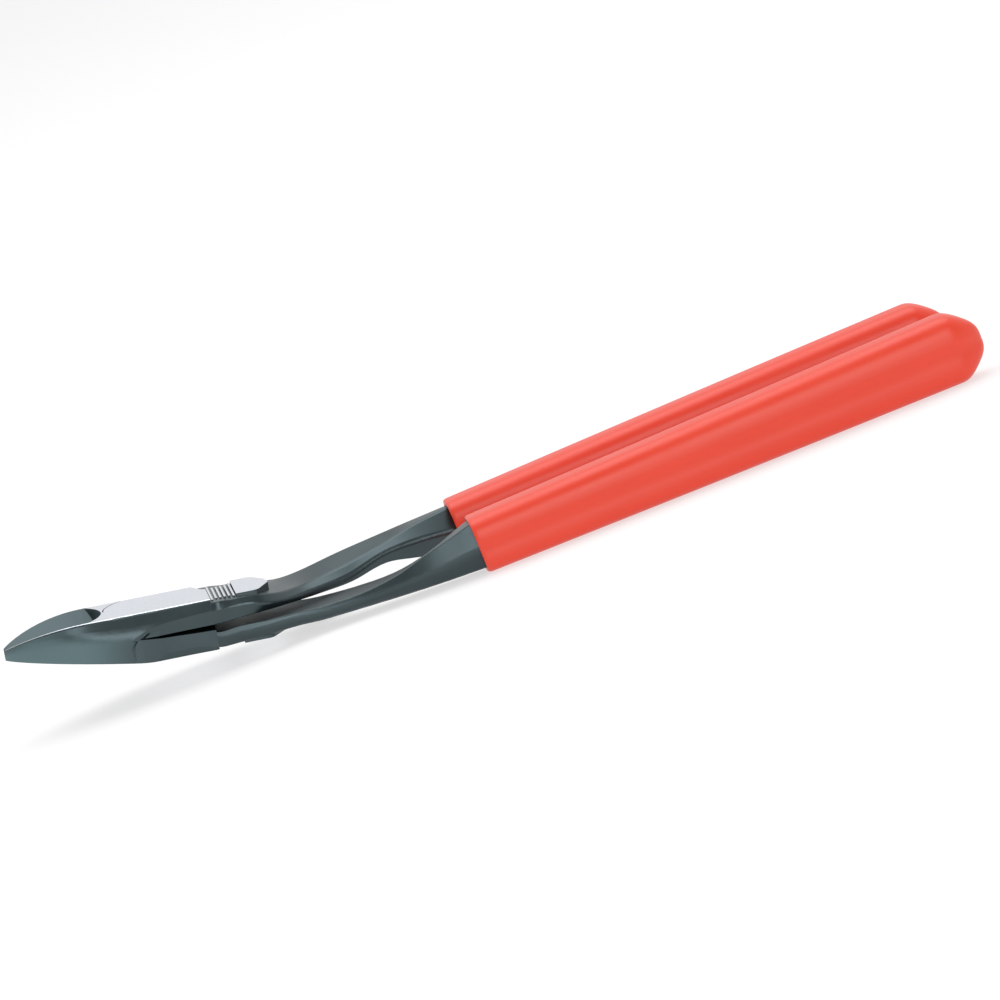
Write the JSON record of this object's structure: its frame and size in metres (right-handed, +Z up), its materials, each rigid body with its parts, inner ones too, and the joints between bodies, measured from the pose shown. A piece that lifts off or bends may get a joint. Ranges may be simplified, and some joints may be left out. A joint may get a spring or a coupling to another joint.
{
  "type": "diagonal cutting pliers",
  "caption": "Diagonal cutting pliers with an angled head, lap joint and long dip-coated handles, modelled closed and opening about the rivet.",
  "frame": {"origin": "bottom centre of the bounding box, on the table under the middle of the closed tool", "axes": "+X from the jaw tip towards the handle ends, +Y towards the handle of the upper lever, +Z up from the table"},
  "size_m": [0.251, 0.048, 0.0248],
  "materials": {
    "tool_steel": "black-finished satin steel with ground bright faces",
    "rivet_steel": "ground",
    "dipped_grip": "glossy dipped vinyl"
  },
  "bodies": {
    "upper_lever": {"upper_lever": "tool_steel", "joint_rivet": "rivet_steel", "upper_lever_sleeve": "dipped_grip"},
    "lower_lever": {"lower_lever": "tool_steel", "lower_lever_sleeve": "dipped_grip"}
  },
  "joints": [
    {"name": "jaw_pivot", "type": "hinge", "parent": "upper_lever", "child": "lower_lever", "pos_m": [-0.08656, 0, 0.01426], "axis": [-0.1846, 0, -0.9828], "range_deg": [0, 30]}
  ]
}
